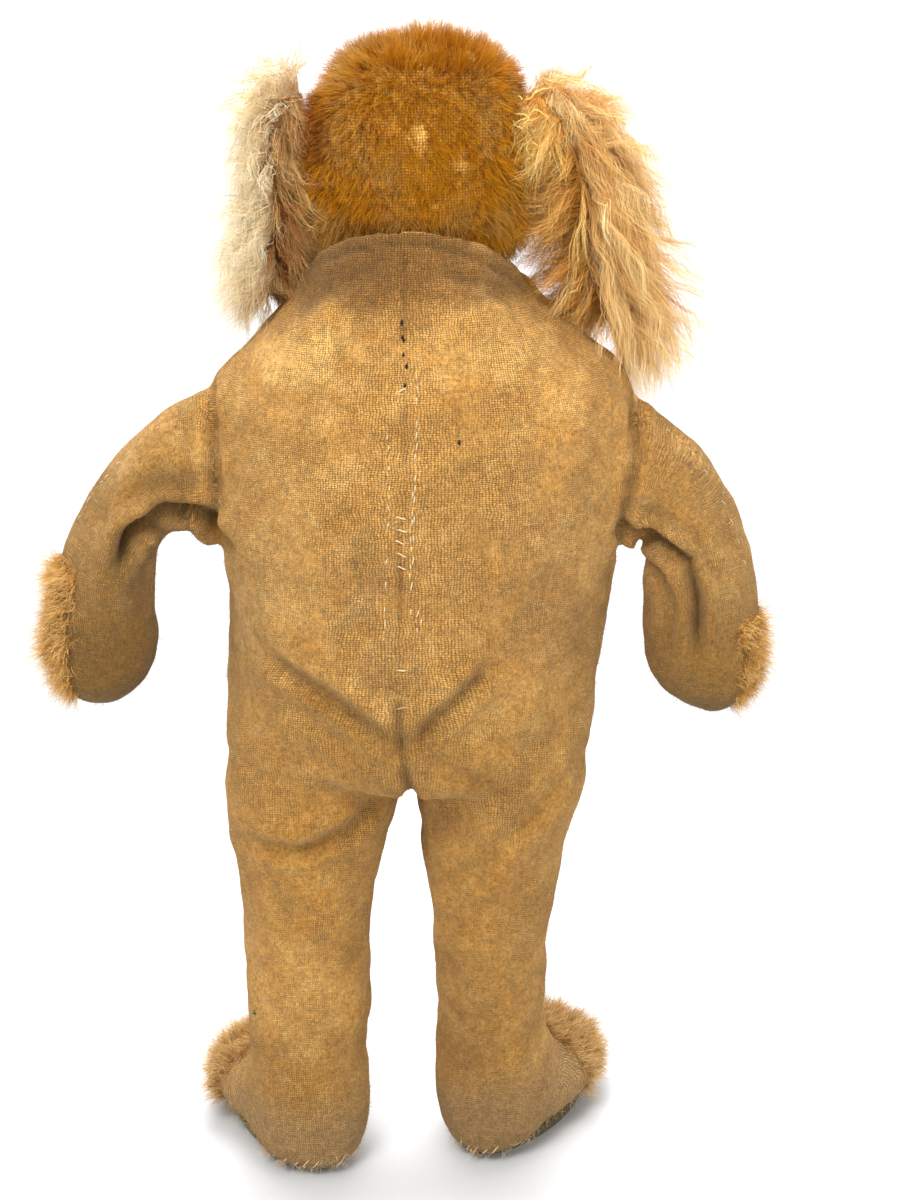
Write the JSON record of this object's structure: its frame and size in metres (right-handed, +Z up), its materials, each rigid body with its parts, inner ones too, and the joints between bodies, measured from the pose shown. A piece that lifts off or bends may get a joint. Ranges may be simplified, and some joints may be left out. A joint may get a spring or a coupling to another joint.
{
  "type": "jointed stuffed toy dog",
  "caption": "Old stuffed toy dog, standing, with a disc-jointed turning head, sewn-in arms that swing, hips that bend and long hinged fur ears.",
  "frame": {"origin": "on the floor under the middle of the overall box", "axes": "+Z up, the toy faces -Y and its left side is +X"},
  "size_m": [0.1656, 0.09, 0.264],
  "materials": {
    "flannel": "worn brushed flannel",
    "head_mohair": "short worn pile",
    "ear_mohair": "long wavy pile",
    "paw_mohair": "fluffy pile",
    "sole_cloth": "worn felt",
    "stuffing": "packed fibre",
    "board": "pressed fibre board",
    "hardware": "dull steel",
    "eye_glass": "polished dark",
    "nose_leather": "worn matte",
    "thread": "cotton thread"
  },
  "bodies": {
    "torso": {"torso_back_left": "flannel", "torso_back_right": "flannel", "torso_front": "flannel", "torso_stuffing": "stuffing", "closing_thread": "thread", "neck_disc_lower": "board", "neck_washer_lower": "hardware", "neck_pin": "hardware"},
    "head": {"head_cover_left": "head_mohair", "head_cover_right": "head_mohair", "head_stuffing": "stuffing", "neck_disc_upper": "board", "neck_washer_upper": "hardware", "eye_left": "eye_glass", "eye_right": "eye_glass", "nose": "nose_leather"},
    "ear_left": {"ear_left_outer": "ear_mohair", "ear_left_lining": "flannel"},
    "ear_right": {"ear_right_outer": "ear_mohair", "ear_right_lining": "flannel"},
    "arm_left": {"arm_left_cover": "flannel", "arm_left_stuffing": "stuffing", "hand_left_back": "paw_mohair"},
    "arm_right": {"arm_right_cover": "flannel", "arm_right_stuffing": "stuffing", "hand_right_back": "paw_mohair"},
    "leg_left": {"leg_left_cover": "flannel", "leg_left_stuffing": "stuffing", "foot_left_top": "paw_mohair", "foot_left_stuffing": "stuffing", "foot_left_sole": "sole_cloth", "foot_left_board": "board"},
    "leg_right": {"leg_right_cover": "flannel", "leg_right_stuffing": "stuffing", "foot_right_top": "paw_mohair", "foot_right_stuffing": "stuffing", "foot_right_sole": "sole_cloth", "foot_right_board": "board"}
  },
  "joints": [
    {"name": "neck_swivel", "type": "hinge", "parent": "torso", "child": "head", "pos_m": [-0.0024, 0.01565, 0.2146], "axis": [0, 0, 1], "range_deg": [-70, 70]},
    {"name": "shoulder_left", "type": "hinge", "parent": "torso", "child": "arm_left", "pos_m": [0.04385, 0.01565, 0.1713], "axis": [0.0433, 0, 0.9991], "range_deg": [-42, 25]},
    {"name": "shoulder_right", "type": "hinge", "parent": "torso", "child": "arm_right", "pos_m": [-0.05105, 0.01565, 0.1708], "axis": [-0.1195, 0, 0.9928], "range_deg": [-25, 42]},
    {"name": "hip_left", "type": "hinge", "parent": "torso", "child": "leg_left", "pos_m": [0.021, 0.01565, 0.098], "axis": [-1, 0, 0], "range_deg": [0, 60]},
    {"name": "hip_right", "type": "hinge", "parent": "torso", "child": "leg_right", "pos_m": [-0.0212, 0.01565, 0.098], "axis": [-1, 0, 0], "range_deg": [0, 60]},
    {"name": "ear_left_seam", "type": "hinge", "parent": "head", "child": "ear_left", "pos_m": [0.0224, 0.01565, 0.2534], "axis": [0, -1, 0], "range_deg": [0, 55]},
    {"name": "ear_right_seam", "type": "hinge", "parent": "head", "child": "ear_right", "pos_m": [-0.027, 0.01565, 0.2534], "axis": [0, 1, 0], "range_deg": [0, 55]}
  ]
}
